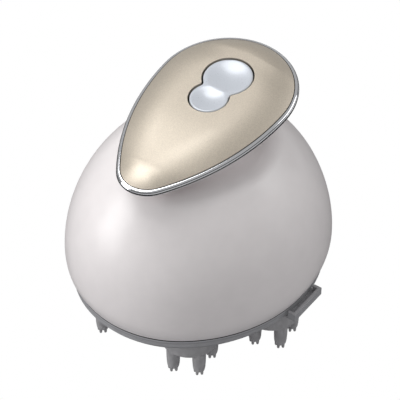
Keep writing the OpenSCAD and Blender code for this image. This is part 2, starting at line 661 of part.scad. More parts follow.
// Drum with a rounded edge, hub with a retaining groove, socket and fingers
module finger_disc() {
  difference() {
    rotate_extrude($fn = 96) polygon([
      [0, disc_z], [disc_r - 1.4, disc_z], [disc_r - 0.7, disc_z + 0.2],
      [disc_r - 0.2, disc_z + 0.7], [disc_r, disc_z + 1.4], [disc_r, slab_z - 0.3],
      [6, slab_z - 0.3], [6, slab_top + 0.05], [4.8, slab_top + 0.05],
      [4.8, slab_top + 0.85], [6, slab_top + 0.85], [5.7, slab_top + 1.6],
      [0, slab_top + 1.6]
    ]);
    translate([0, 0, base_z - 5.6]) cylinder(r = hex_r + run_fit, h = 8, $fn = 6);
  }
  rotate([0, 0, finger_phase]) for (i = [0:fingers - 1]) rotate([0, 0, i * 360 / fingers])
    translate([finger_path_r, 0, 0]) finger();
}

module disc_at(i) color("#8f8f91")
  translate([disc_path_r * cos(disc_dirs[i]), disc_path_r * sin(disc_dirs[i]), 0])
    finger_disc();
module finger_disc_1() disc_at(0);
module finger_disc_2() disc_at(1);
module finger_disc_3() disc_at(2);
module finger_disc_4() disc_at(3);
module finger_disc_5() disc_at(4);
module finger_disc_6() disc_at(5);

module hub_rings() color("#b0b2b5") at_dirs(disc_dirs, disc_path_r)
  translate([0, 0, slab_top + 0.1]) difference() {
    cylinder(r = 8, h = 0.7, $fn = 64);
    translate([0, 0, -1]) cylinder(r = 4.8 + run_fit, h = 3, $fn = 64);
  }

dome_shell();
base_plate();
base_seal();
chassis();
sun_gear();
idler_gear();
motor();
motor_pinion();
spindle_1();
spindle_2();
spindle_3();
spindle_4();
spindle_5();
spindle_6();
spindle_seals();
tap_motor();
tap_weight();
battery();
main_board();
charge_contacts();
handle_tray();
chrome_bezel();
gold_panel();
rocker_button();
rocker_pin();
switch_boot();
switch_board();
tact_switches();
case_screws();
chassis_screws();
motor_screws();
tray_screws();
head_plate();
finger_disc_1();
finger_disc_2();
finger_disc_3();
finger_disc_4();
finger_disc_5();
finger_disc_6();
hub_rings();
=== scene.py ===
"""Looks for an electric scalp massager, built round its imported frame.

Lengths inside the file are millimetres and become metres when a mesh, a lamp or the camera is made.
X runs along the handle toward its wide end, Z is up, the finger tips stand on z = 0.
"""

import json
import math

import bmesh
import bpy
import numpy as np
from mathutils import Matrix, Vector


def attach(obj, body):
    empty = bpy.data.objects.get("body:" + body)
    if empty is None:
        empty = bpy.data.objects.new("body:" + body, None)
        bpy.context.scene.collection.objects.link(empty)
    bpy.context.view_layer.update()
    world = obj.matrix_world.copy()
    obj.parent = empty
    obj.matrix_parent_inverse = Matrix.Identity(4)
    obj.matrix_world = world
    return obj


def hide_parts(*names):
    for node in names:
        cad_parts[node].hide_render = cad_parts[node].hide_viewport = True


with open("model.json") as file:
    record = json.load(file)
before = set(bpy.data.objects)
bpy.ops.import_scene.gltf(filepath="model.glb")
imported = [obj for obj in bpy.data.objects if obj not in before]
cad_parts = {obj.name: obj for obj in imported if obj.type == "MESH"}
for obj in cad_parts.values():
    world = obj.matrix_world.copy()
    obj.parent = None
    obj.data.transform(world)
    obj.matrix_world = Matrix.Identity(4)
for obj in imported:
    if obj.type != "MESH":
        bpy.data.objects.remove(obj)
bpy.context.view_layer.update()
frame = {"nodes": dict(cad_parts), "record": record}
NODES = frame["nodes"]

bl_info = {
    "name": "Scalp massager",
    "version": (1, 0, 0),
    "blender": (4, 5, 0),
    "location": "View3D > Sidebar > Massager",
    "description": "Builds the surfaces, finishes and studio of an electric scalp massager",
    "category": "Object",
}

MM = 0.001

PIVOT_H = 1.3           # middle of the bezel over its lower edge, where the handle is tilted
RIM_H = 3.0             # rim of the panel over the lower edge of the bezel
LEDGE = 1.95            # inset of the panel's edge from the outline of the handle
LARGE_X, LARGE_R = 21.2, 11.0   # large lobe of the button opening
SMALL_X, SMALL_R = 7.5, 8.7     # small lobe of the button opening
WAIST_FILLET = 1.4      # fillet on each side between the lobes
FLOOR_Z = -27.0         # under the lowest reach of the head, which pulls off 25 mm downward


# ---------------------------------------------------------------- settings

def length(name, description, value, low, high):
    """Setting for a length in millimetres."""
    return bpy.props.FloatProperty(name=name, description=description, default=value, min=low, max=high,
                                   unit="CAMERA")


def power(name, description, value):
    """Setting for the power of a lamp in watts."""
    return bpy.props.FloatProperty(name=name, description=description, default=value, min=0,
                                   unit="POWER")


def colour(name, description, value):
    """Setting for a colour, shown as a swatch, with an sRGB hex value as its default."""
    channels = tuple(int(value[i:i + 2], 16) / 255 for i in (1, 3, 5))
    return bpy.props.FloatVectorProperty(name=name, description=description, default=channels, size=3,
                                         subtype="COLOR_GAMMA", min=0, max=1)


class MassagerShape(bpy.types.PropertyGroup):
    """Sizes of the visible surfaces."""
    body_l: length("Body length", "Length of the oval body", 124.4, 100, 150)
    body_w: length("Body width", "Width of the oval body", 111.4, 90, 140)
    seam_z: length("Seam height", "Height of the seam under the dome", 30.2, 20, 50)
    belly_h: length("Belly height", "Widest line above the seam", 8.8, 4, 14)
    dome_rise: length("Dome rise", "Dome curve above its widest line", 62.3, 40, 80)
    dome_n: bpy.props.FloatProperty(name="Dome fullness", description="Fullness of the dome curve",
                                    default=1.86, min=1.5, max=3)
    shoulder_z: length("Shoulder height", "Level ground round the neck", 89.0, 70, 100)
    neck_inset: length("Neck inset", "Inset of the neck from the outline of the body", 39.0, 30, 45)
    handle_hw: length("Handle half width", "Half the width of the handle", 30.9, 24, 38)
    tip_wide: length("Wide tip", "Reach of the wide end of the handle", 48.9, 40, 60)
    tip_narrow: length("Narrow tip", "Reach of the narrow end of the handle", 47.2, 40, 60)
    tray_z: length("Tray height", "Underside of the handle tray before its tilt", 96.0, 90, 110)
    bezel_z: length("Bezel height", "Lower edge of the chrome bezel", 100.8, 90, 115)
    handle_tilt: bpy.props.FloatProperty(name="Handle rise", description="Slope of the handle",
                                         default=math.radians(8), min=0, max=math.radians(15),
                                         subtype="ANGLE")
    panel_crown: length("Panel crown", "Crown of the gold panel over its rim", 4.0, 2, 6)


class MassagerFinish(bpy.types.PropertyGroup):
    """Colours of the finishes."""
    dome: colour("Dome", "Pearl white shell", "#EDE8E8")
    base: colour("Base", "Grey base ring", "#A2A2A5")
    head: colour("Head", "Grey head plate", "#A3A3A6")
    finger: colour("Fingers", "Grey silicone fingers", "#A6A5A7")
    panel: colour("Panel", "Champagne lacquer", "#CAC0B1")
    button: colour("Button", "Pearl blue-white lacquer", "#CDD2DA")


class MassagerStudio(bpy.types.PropertyGroup):
    """Strengths of the studio lights."""
    top: power("Top light", "Power of the overhead softbox", 3.0)
    side: power("Side light", "Power of the side softbox", 2.5)
    fill: power("Fill light", "Power of the softbox on the right", 1.5)
    world: bpy.props.FloatProperty(name="Room light", description="Strength of the even room light",
                                   default=0.46, min=0, subtype="UNSIGNED")


def shape():
    """The scene's sizes."""
    return bpy.context.scene.massager_shape


# ---------------------------------------------------------------- outlines

def body_arcs():
    """Body outline: two end arcs and two side arcs whose centres stand at the corners of a
    4:3 triangle. Each row is (first normal angle, last normal angle, centre x, centre y, radius)."""
    size = shape()
    k = (size.body_l - size.body_w) / 4
    a = math.atan2(3, 4)
    end, side = size.body_l / 2 - 4 * k, size.body_l / 2 + k
    return [(-a, a, 4 * k, 0, end), (a, math.pi - a, 0, -3 * k, side),
            (math.pi - a, math.pi + a, -4 * k, 0, end), (math.pi + a, 2 * math.pi - a, 0, 3 * k, side)]


def handle_arcs():
    """Handle outline: a half circle at the wide end, two long side arcs and a small end arc whose
    centres stand on the slope of a 3:4 triangle. Rows as in body_arcs."""
    size = shape()
    k = (size.tip_narrow + size.tip_wide) / 2 - size.handle_hw
    wide = size.tip_wide - size.handle_hw
    a = math.atan2(4, 3)
    half = math.pi / 2
    return [(-half, half, wide, 0, size.handle_hw),
            (half, math.pi - a, wide, -4 * k, size.handle_hw + 4 * k),
            (math.pi - a, math.pi + a, wide - 3 * k, 0, size.handle_hw - k),
            (math.pi + a, 3 * half, wide, 4 * k, size.handle_hw + 4 * k)]


def around(arcs, step):
    """Points about every step mm along the arcs: rows of centre x, y, radius and unit normal x, y."""
    rows = []
    for first, last, x, y, r in arcs:
        n = max(6, int(round((last - first) * r / step)))
        t = first + (last - first) * np.arange(n) / n
        rows.append(np.stack([np.full(n, x), np.full(n, y), np.full(n, r), np.cos(t), np.sin(t)], 1))
    return np.concatenate(rows)


def parallel(arcs, inset, step):
    """Flat outline at an inset from the arcs: centre + (radius - inset) * normal."""
    rows = around(arcs, step)
    return rows[:, :2] + (rows[:, 2:3] - inset) * rows[:, 3:]


def swept(arcs, profile, step):
    """Profile carried round an outline: the point at inset i and height z stands at
    centre + (radius - i) * normal, so every inset runs parallel to the outline."""
    rows = around(arcs, step)[:, None, :]
    profile = np.asarray(profile, float)[None]
    reach = rows[..., 2] - profile[..., 0]
    return np.stack([rows[..., 0] + reach * rows[..., 3], rows[..., 1] + reach * rows[..., 4],
                     np.broadcast_to(profile[..., 1], reach.shape)], -1)


def inset_of(arcs, x, y):
    """How far points lie inside an outline of tangent arcs: the radius of the arc whose sector
    holds the point, less the distance to that arc's centre."""
    best = np.full(np.shape(x), 1e9)
    for first, last, cx, cy, r in arcs:
        t = np.mod(np.arctan2(y - cy, x - cx) - first, 2 * math.pi)
        inset = r - np.hypot(x - cx, y - cy)
        best = np.where((t <= last - first + 1e-6) & (inset < best), inset, best)
    return best


def even(line, n, closed=False):
    """n points at equal steps of length along a line. A closed line runs back to its first point,
    which isn't repeated."""
    if closed:
        line = np.concatenate([line, line[:1]])
    gone = np.concatenate([[0], np.cumsum(np.linalg.norm(np.diff(line, axis=0), axis=1))])
    at = np.linspace(0, gone[-1], n, endpoint=not closed)
    return np.stack([np.interp(at, gone, line[:, i]) for i in range(line.shape[1])], 1)


def smooth_line(points, n):
    """Round curve through points: Catmull-Rom pieces, evened out by length."""
    p = np.asarray(points, float)
    q = np.concatenate([2 * p[:1] - p[1:2], p, 2 * p[-1:] - p[-2:-1]])
    t = np.linspace(0, 1, 24, endpoint=False)[None, :, None]
    a, b, c, d = (q[i:len(q) - 3 + i, None, :] for i in range(4))
    line = 0.5 * (2 * b + (c - a) * t + (2 * a - 5 * b + 4 * c - d) * t ** 2
                  + (3 * b - a - 3 * c + d) * t ** 3)
    return even(np.concatenate([line.reshape(-1, p.shape[1]), p[-1:]]), n)


def bezier(a, b, c, n):
    """Quadratic curve from a to c bent toward b, without its first point."""
    t = (np.arange(1, n + 1) / n)[:, None]
    return (1 - t) ** 2 * np.array(a) + 2 * t * (1 - t) * np.array(b) + t * t * np.array(c)


def level(outline, z):
    """Points of a flat outline at one height."""
    return np.concatenate([outline, np.full((len(outline), 1), z)], 1)


def tilted(points):
    """Handle parts are drawn level and turned by the handle's rise about the bezel's middle."""
    a = shape().handle_tilt
    pivot = shape().bezel_z + PIVOT_H
    x, y, z = points[..., 0], points[..., 1], points[..., 2] - pivot
    return np.stack([x * math.cos(a) - z * math.sin(a), y,
                     pivot + x * math.sin(a) + z * math.cos(a)], -1)


# ---------------------------------------------------------------- meshes

def placed(name, mesh, sharp):
    """Object of a mesh, linked to the scene and shaded smooth up to an angle in degrees."""
    mesh.shade_smooth()
    mesh.set_sharp_from_angle(angle=math.radians(sharp))
    obj = bpy.data.objects.new(name, mesh)
    bpy.context.scene.collection.objects.link(obj)
    return obj


def surface(name, points, wrap_u=True, wrap_v=False, sharp=40):
    """Mesh over a grid of points (u, v, xyz) in mm. u or v closes on itself where wrapped; rows that
    fall on one point close as a pole. A UV map keeps u and v, and the faces point outward."""
    nu, nv = points.shape[:2]
    u = np.arange(nu if wrap_u else nu - 1)
    v = np.arange(nv if wrap_v else nv - 1)
    i, j = np.meshgrid(u, v, indexing="ij")
    i2, j2 = (i + 1) % nu, (j + 1) % nv
    quads = np.stack([i * nv + j, i2 * nv + j, i2 * nv + j2, i * nv + j2], -1).reshape(-1, 4)
    mesh = bpy.data.meshes.new(name)
    mesh.from_pydata((points.reshape(-1, 3) * MM).tolist(), [], quads.tolist())
    uv = mesh.uv_layers.new(name="UVMap")
    corners = ((i, j), (i + 1, j), (i + 1, j + 1), (i, j + 1))
    uv_values = np.stack([np.stack([a / nu, b / nv], -1) for a, b in corners], -2).reshape(-1)
    uv.data.foreach_set("uv", uv_values.astype(np.float32))
    bm = bmesh.new()
    bm.from_mesh(mesh)
    bmesh.ops.remove_doubles(bm, verts=bm.verts, dist=0.001 * MM)
    bmesh.ops.dissolve_degenerate(bm, edges=bm.edges, dist=0.0001 * MM)
    bmesh.ops.recalc_face_normals(bm, faces=bm.faces)
    bm.to_mesh(mesh)
    bm.free()
    return placed(name, mesh, sharp)


def refined(cad_node, name, bevel=0.0, sharp=32):
    """Copy of a CAD node with its triangles merged, smooth up to an angle, its edges eased by a
    bevel in mm."""
    mesh = NODES[cad_node].data.copy()
    mesh.materials.clear()
    bm = bmesh.new()
    bm.from_mesh(mesh)
    bmesh.ops.remove_doubles(bm, verts=bm.verts, dist=0.002 * MM)
    bmesh.ops.dissolve_limit(bm, angle_limit=math.radians(0.5), verts=bm.verts, edges=bm.edges)
    bm.to_mesh(mesh)
    bm.free()
    obj = placed(name, mesh, sharp)
    if bevel:
        eased = obj.modifiers.new("Eased edges", "BEVEL")
        eased.width = bevel * MM
        eased.segments = 2
        eased.limit_method = "ANGLE"
        eased.angle_limit = math.radians(50)
    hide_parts(cad_node)
    return obj


# ---------------------------------------------------------------- shader helpers

def hex_of(setting):
    """sRGB hex value of a colour setting."""
    return "#%02X%02X%02X" % tuple(round(255 * channel) for channel in setting)


def linear(hex_value):
    """sRGB hex to linear colour with alpha one."""
    c = [int(hex_value[i:i + 2], 16) / 255 for i in (1, 3, 5)]
    return tuple(v / 12.92 if v <= 0.04045 else ((v + 0.055) / 1.055) ** 2.4 for v in c) + (1.0,)


def shade(hex_value, factor):
    """The hex colour made lighter or darker."""
    c = [min(255, max(0, int(round(int(hex_value[i:i + 2], 16) * factor)))) for i in (1, 3, 5)]
    return "#%02X%02X%02X" % tuple(c)


def node(tree, kind, inputs=None, **settings):
    """Adds a node; inputs are values or sockets by name or index, settings are its attributes."""
    n = tree.nodes.new(kind)
    for key, value in settings.items():
        setattr(n, key, value)
    for key, value in (inputs or {}).items():
        if isinstance(value, bpy.types.NodeSocket):
            tree.links.new(value, n.inputs[key])
        else:
            n.inputs[key].default_value = value
    return n


def ramp(tree, fac, *pairs):
    """Colour ramp over a socket with its stops as (position, hex); returns its colour socket."""
    r = node(tree, "ShaderNodeValToRGB", {"Fac": fac})
    elements = r.color_ramp.elements
    while len(elements) < len(pairs):
        elements.new(0.5)
    for element, (at, value) in zip(elements, pairs):
        element.position = at
        element.color = linear(value)
    return r.outputs[0]


def cleared(owner):
    """Node tree of a new material or world, emptied."""
    owner.use_nodes = True
    owner.node_tree.nodes.clear()
    return owner.node_tree


def material(name, base, **sockets):
    """New material with a Principled shader whose constant sockets are set; returns the material,
    its tree, the shader and object coordinates."""
    m = bpy.data.materials.new(name)
    t = cleared(m)
    shader = node(t, "ShaderNodeBsdfPrincipled", {"Base Color": linear(base), **sockets})
    node(t, "ShaderNodeOutputMaterial", {"Surface": shader.outputs[0]})
    m.diffuse_color = linear(base)
    where = node(t, "ShaderNodeTexCoord").outputs["Object"]
    return m, t, shader, where


def grain(t, shader, where, size, depth, rough, spread, detail=3.0):
    """Surface grain of a given size in mm: one noise drives the bump, of depth mm, and lets the
    roughness wander by spread round its middle."""
    n = node(t, "ShaderNodeTexNoise", {"Vector": where, "Scale": 1000 / size, "Detail": detail,
                                       "Roughness": 0.55})
    r = node(t, "ShaderNodeMapRange", {"Value": n.outputs[0], "From Min": 0.3, "From Max": 0.7,
                                       "To Min": rough - spread, "To Max": rough + spread})
    t.links.new(r.outputs[0], shader.inputs["Roughness"])
    b = node(t, "ShaderNodeBump", {"Height": n.outputs[0], "Strength": 1.0, "Distance": depth * MM})
    t.links.new(b.outputs[0], shader.inputs["Normal"])


def tinted(t, shader, where, size, low, high):
    """Colour that wanders between two hex values in patches of a size in mm."""
    n = node(t, "ShaderNodeTexNoise", {"Vector": where, "Scale": 1000 / size, "Detail": 2.0})
    t.links.new(ramp(t, n.outputs[0], (0.35, low), (0.65, high)), shader.inputs["Base Color"])


def along_section(t, shader, *pairs):
    """Colour told by the v of the piece's own map, which runs along its section."""
    uv = node(t, "ShaderNodeSeparateXYZ", {0: node(t, "ShaderNodeTexCoord").outputs["UV"]})
    t.links.new(ramp(t, uv.outputs[1], *pairs), shader.inputs["Base Color"])


# ---------------------------------------------------------------- finishes

def pearl_abs(name, base):
    # Injection moulded ABS with a satin pearl clear coat: soft highlight, very fine orange peel.
    m, t, s, where = material(name, base, IOR=1.52, **{"Coat Weight": 0.35, "Coat Roughness": 0.22,
                                                       "Sheen Weight": 0.05})
    tinted(t, s, where, 9.0, shade(base, 0.992), shade(base, 1.006))
    grain(t, s, where, 0.45, 0.004, 0.36, 0.03)
    return m


def moulded_plastic(name, base, rough=0.45, size=0.35, depth=0.006):
    # Fine spark-eroded texture on moulded plastic, grain about a third of a millimetre.
    m, t, s, where = material(name, base, IOR=1.49)
    tinted(t, s, where, 6.0, shade(base, 0.97), shade(base, 1.03))
    grain(t, s, where, size, depth, rough, 0.05)
    return m


def ring_plastic_painted_light(name, base, seam):
    # Moulded plastic with light and shade painted on by height: painted shade in a dark band over the
    # last 0.6 mm under the seam of the dome, a painted highlight in a lighter band just below it, and
    # painted shade darkening it toward 2 mm under the seam.
    m, t, s, where = material(name, base, IOR=1.49)
    z = node(t, "ShaderNodeSeparateXYZ", {0: where})
    up = node(t, "ShaderNodeMapRange", {"Value": z.outputs[2], "From Min": (seam - 2) * MM,
                                        "From Max": seam * MM})
    # lip holds the colour of the painted shade under the seam; the lighter stop at 0.62 is a painted
    # highlight and the darker stop at 0 is painted shade.
    lip = "#242426"
    told = ramp(t, up.outputs[0], (0.0, shade(base, 0.86)), (0.3, base), (0.62, shade(base, 1.12)),
                (0.70, lip), (1.0, lip))
    t.links.new(told, s.inputs["Base Color"])
    grain(t, s, where, 0.35, 0.006, 0.4, 0.05)
    return m


def silicone(name, base):
    # Soft moulded silicone: dull, a little light passes into it, slight bloom on the surface.
    m, t, s, where = material(name, base, IOR=1.41, **{
        "Subsurface Weight": 0.12, "Subsurface Radius": (1.0, 1.0, 1.0), "Subsurface Scale": 0.8 * MM,
        "Sheen Weight": 0.12, "Sheen Roughness": 0.5})
    tinted(t, s, where, 3.0, shade(base, 0.96), shade(base, 1.03))
    grain(t, s, where, 0.3, 0.008, 0.52, 0.06)
    return m


def chrome(name, base):
    # Bright decorative chrome on plastic: mirror with a faint ripple of the moulding under it, a fine
    # dark line of painted shade beside the panel and a painted dark reflection along its lower edge.
    m, t, s, where = material(name, base, Metallic=1.0)
    # groove is a dark line of painted shade, and edge is a painted dark reflection in the mirror's
    # colour.
    painted_groove_shade, edge = "#4A4B4E", "#131316"
    along_section(t, s, (0.0, base), (0.25, base), (0.27, painted_groove_shade), (0.31, painted_groove_shade), (0.33, base),
                  (0.70, base), (0.73, edge), (1.0, edge))
    grain(t, s, where, 5.0, 0.004, 0.07, 0.02, 1.0)
    return m


def champagne(name, base):
    # Champagne metallic lacquer: aluminium flake under a satin clear coat. Flakes are drawn
    # 0.25 mm wide, coarser than real ones, so that they show at all.
    m, t, s, where = material(name, base, Metallic=0.85, **{"Coat Weight": 0.5,
                                                            "Coat Roughness": 0.25})
    flakes = node(t, "ShaderNodeTexVoronoi", {"Vector": where, "Scale": 1000 / 0.25})
    told = ramp(t, flakes.outputs["Color"], (0.0, shade(base, 0.95)), (1.0, shade(base, 1.05)))
    t.links.new(told, s.inputs["Base Color"])
    grain(t, s, where, 0.5, 0.003, 0.46, 0.03)
    return m


def pearl_lacquer(name, base):
    # Pearl lacquer with a cool cast under gloss clear coat, on the moulded button.
    m, t, s, where = material(name, base, Metallic=0.2, **{"Coat Weight": 0.6, "Coat Roughness": 0.1})
    tinted(t, s, where, 0.4, shade(base, 0.985), shade(base, 1.01))
    grain(t, s, where, 0.6, 0.002, 0.30, 0.03)
    return m


def bare_metal(name, base, rough):
    # Drawn or turned metal: streaks 0.2 mm wide, ten times longer along z.
    m, t, s, where = material(name, base, Metallic=1.0)
    stretched = node(t, "ShaderNodeMapping", {"Vector": where, "Scale": (1.0, 1.0, 0.1)})
    grain(t, s, stretched.outputs[0], 0.2, 0.002, rough, 0.08)
    return m


def shrink_sleeve(name, base):
    # Heat-shrunk film on a cell: glossy, with shallow wrinkles a few millimetres apart.
    m, t, s, where = material(name, base, IOR=1.5, **{"Coat Weight": 0.4})
    grain(t, s, where, 3.0, 0.03, 0.3, 0.04, 1.5)
    return m


def solder_mask(name, base):
    # Green solder mask over copper areas of about 4.2 by 2.1 mm, parted by paler gaps of about
    # half a millimetre. They are drawn by a brick pattern and follow no real layout.
    m, t, s, where = material(name, base, IOR=1.5, **{"Coat Weight": 0.3})
    areas = node(t, "ShaderNodeTexBrick", {
        "Vector": where, "Color1": linear(base), "Color2": linear(shade(base, 1.12)),
        "Mortar": linear(shade(base, 1.45)), "Scale": 120.0, "Mortar Size": 0.03})
    t.links.new(areas.outputs[0], s.inputs["Base Color"])
    grain(t, s, where, 0.8, 0.01, 0.35, 0.05)
    return m


def tray_plastic(name, base):
    # Satin white moulded tray with a dark band of painted shade on its lip under the bezel, told by the
    # map's v.
    m, t, s, where = material(name, base, IOR=1.5, **{"Coat Weight": 0.3, "Coat Roughness": 0.25})
    # gasket is the colour of painted shade on the lip, where the tray lies in shade under the bezel.
    painted_bezel_shade = "#1B1B1E"
    along_section(t, s, (0.0, painted_bezel_shade), (0.20, painted_bezel_shade), (0.22, base), (1.0, base))
    grain(t, s, where, 0.45, 0.004, 0.36, 0.03)
    return m


FINISHES = {}


def make_finishes():
    """Fills FINISHES with one material for each slot of the record."""
    tint = bpy.context.scene.massager_finish
    FINISHES.update({
        "dome_white": pearl_abs("Pearl ABS", hex_of(tint.dome)),
        "base_grey": ring_plastic_painted_light("Grey moulded ABS with painted light", hex_of(tint.base), shape().seam_z),
        "head_grey": moulded_plastic("Grey polypropylene", hex_of(tint.head), 0.42),
        "finger_rubber": silicone("Grey silicone", hex_of(tint.finger)),
        "seal_rubber": silicone("Black silicone", "#303032"),
        "frame_plastic": moulded_plastic("Natural ABS", "#C9C9C6", 0.5),
        "gear_acetal": moulded_plastic("Natural acetal", "#ECE7D6", 0.32, 0.5, 0.003),
        "motor_steel": bare_metal("Zinc plated steel", "#B8B9BB", 0.34),
        "brass": bare_metal("Machined brass", "#C2A15A", 0.25),
        "cell_sleeve": shrink_sleeve("Blue shrink sleeve", "#3C6EA8"),
        "board_green": solder_mask("Green solder mask", "#2F6B3F"),
        "gold_contact": bare_metal("Gold plated pin", "#D8B65C", 0.18),
        "tray_white": pearl_abs("Satin ABS", hex_of(tint.dome)),
        "chrome": chrome("Bright chrome plating", "#E4E5E8"),
        "champagne": champagne("Champagne metallic lacquer", hex_of(tint.panel)),
        "button_pearl": pearl_lacquer("Pearl button lacquer", hex_of(tint.button)),
        "steel": bare_metal("Bright steel", "#B0B2B5", 0.22),
        "switch_black": moulded_plastic("Black nylon", "#2B2B2D", 0.45),
        "tungsten": bare_metal("Sintered heavy metal", "#8F8A80", 0.5),
    })


def dress(obj, slot, body):
    """Gives a new piece its finish, its record slot and the body it rides on."""
    obj.data.materials.clear()
    obj.data.materials.append(FINISHES[slot])
    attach(obj, body)
    return obj


class MASSAGER_OT_finishes(bpy.types.Operator):
    """Makes the finishes and puts them on the carried-over CAD nodes"""
    bl_idname = "massager.finishes"
    bl_label = "Finishes"

    def execute(self, context):
        make_finishes()
        for part in frame["record"]["subparts"]:
            mesh = NODES[part["node"]].data
            mesh.materials.clear()
            mesh.materials.append(FINISHES[part["material_slot"]])
        return {"FINISHED"}


# ---------------------------------------------------------------- body

def dome_curve(first, last, n, wall):
    """Section of the dome at a depth under its outside, from one angle to another: a superellipse,
    whose inset and height follow cos(t) and sin(t) raised to 2 / fullness."""
    size = shape()
    reach = 0.92 * (size.body_l / 2 - wall)     # inset that the curve would come to at its top
    t = np.linspace(first, last, n)
    p = 2 / size.dome_n
    return np.stack([-wall - reach * (1 - np.cos(t) ** p),
                     size.seam_z + size.belly_h + (size.dome_rise - wall) * np.sin(t) ** p], -1)


class MASSAGER_OT_dome(bpy.types.Operator):
    """Dome shell: one closed section of a drawn-in foot, superellipse, shoulder and neck, carried
    round the oval of the body"""
    bl_idname = "massager.dome"
    bl_label = "Dome"

    def execute(self, context):
        size = shape()
        seam, belly, shoulder = size.seam_z, size.seam_z + size.belly_h, size.shoulder_z
        wall = 2.4
        tuck = 2.4              # how far the foot draws in under the widest line
        lip_h = 0.35            # rounded lip over the seam
        gap = 0.02              # seam joint
        neck = -size.neck_inset
        run = 8.5               # level shoulder outside the neck
        collar = 13.0           # neck over the shoulder, before it is cut to the handle
        top_angle, foot_angle = math.radians(51), 0.06
        steps = 14

        lip = bezier((-tuck - lip_h, seam + gap), (-tuck - gap, seam + 2 * gap), (-tuck, seam + lip_h), 4)
        fall = 1 - np.arange(1, steps)[:, None] / steps
        low = np.concatenate([-tuck * fall * fall, belly - (size.belly_h - lip_h) * fall], 1)
        outside = dome_curve(0, top_angle, 70, 0)
        crest = outside[-1]
        corner = (neck + run, shoulder)
        to_shoulder = bezier(crest, (crest[0] - 3.6, shoulder), corner, 12)
        to_neck = bezier(corner, (neck, shoulder), (neck, shoulder + 6), 12)
        top = np.array([[neck, shoulder + collar], [neck - wall, shoulder + collar]])
        inside = dome_curve(top_angle, foot_angle, 24, wall)
        corner = (neck + run - wall, shoulder - wall)
        down = bezier((neck - wall, shoulder + 3.5), (neck - wall, corner[1]), corner, 8)
        back = bezier(corner, (inside[0][0] - 3.2, corner[1]), inside[0], 6)[:-1]
        foot = np.array([[-wall - tuck, seam + 5], [-wall - tuck, seam + gap]])
        section = np.concatenate([lip, low, outside, to_shoulder, to_neck, top, down, back, inside, foot])
        points = swept(body_arcs(), section * [-1, 1], 1.6)

        # the neck's top is cut 0.05 mm under the tilted tray
        pivot = size.bezel_z + PIVOT_H
        ceiling = (pivot + points[..., 0] * math.tan(size.handle_tilt)
                   - (pivot - size.tray_z + 0.05) / math.cos(size.handle_tilt))
        points[..., 2] = np.minimum(points[..., 2], ceiling)
        obj = surface("dome_surface", points, wrap_v=True, sharp=45)
        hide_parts("dome_shell")
        dress(obj, "dome_white", "housing")
        return {"FINISHED"}


class MASSAGER_OT_base(bpy.types.Operator):
    """Base plate: CAD form with eased edges and painted shade and highlight under the dome's seam in its
    finish
    """
    bl_idname = "massager.base"
    bl_label = "Base plate"

    def execute(self, context):
        dress(refined("base_plate", "base_ring", 0.18), "base_grey", "housing")
        return {"FINISHED"}


class MASSAGER_OT_head(bpy.types.Operator):
    """Head plate and its release tab: CAD form with eased edges, moulded finish"""
    bl_idname = "massager.head"
    bl_label = "Head plate"

    def execute(self, context):
        dress(refined("head_plate", "head_cover", 0.2), "head_grey", "head")
        return {"FINISHED"}


class MASSAGER_OT_discs(bpy.types.Operator):
    """Finger discs: six silicone drums with nubbed fingers"""
    bl_idname = "massager.discs"
    bl_label = "Finger discs"

    def execute(self, context):
        for i in range(1, 7):
            disc = refined("finger_disc_%d" % i, "silicone_disc_%d" % i)
            dress(disc, "finger_rubber", "disc_body_%d" % i)
        return {"FINISHED"}


# ---------------------------------------------------------------- handle

class MASSAGER_OT_tray(bpy.types.Operator):
    """Handle tray: a bowl section carried round the handle, with a dark band of painted shade under the
    bezel
    """
    bl_idname = "massager.tray"
    bl_label = "Handle tray"

    def execute(self, context):
        bezel, tray = shape().bezel_z, shape().tray_z
        ledge = bezel + 1.15
        lip = bezel - 0.1
        under = smooth_line([(-0.95, lip), (-1.05, tray + 4.4), (-2.2, tray + 3.6), (-4, tray + 2.4),
                             (-6.6, tray + 1.2), (-9.4, tray + 0.4), (-11.6, tray + 0.02)], 48)
        inside = np.array([(-12.7, tray), (-12.7, tray + 1.8), (-6, tray + 3.1), (-3.6, ledge),
                           (-LEDGE, ledge), (-LEDGE, lip)])
        section = np.concatenate([under, inside]) * [-1, 1]
        obj = surface("handle_bowl", tilted(swept(handle_arcs(), section, 1.4)), wrap_v=True, sharp=45)
        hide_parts("handle_tray")
        dress(obj, "tray_white", "housing")
        tint = context.scene.massager_finish
        obj.data.materials[0] = tray_plastic("Satin ABS with painted bezel shade", hex_of(tint.dome))
        return {"FINISHED"}


class MASSAGER_OT_bezel(bpy.types.Operator):
    """Chrome bezel: a round-faced section carried along the outline of the handle"""
    bl_idname = "massager.bezel"
    bl_label = "Chrome bezel"

    def execute(self, context):
        face = smooth_line([(-1.62, 2.8), (-1.2, 2.76), (-0.75, 2.58), (-0.32, 2.2), (-0.07, 1.75),
                            (0, 1.3), (-0.08, 0.8), (-0.35, 0.35), (-0.9, 0.02)], 40)
        back = np.array([(-1.88, 0.0), (-1.88, 2.7), (-1.8, 2.8)])
        section = np.concatenate([face, back]) * [-1, 1] + [0, shape().bezel_z]
        obj = surface("chrome_ring", tilted(swept(handle_arcs(), section, 1.0)), wrap_v=True, sharp=50)
        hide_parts("chrome_bezel")
        dress(obj, "chrome", "housing")
        return {"FINISHED"}


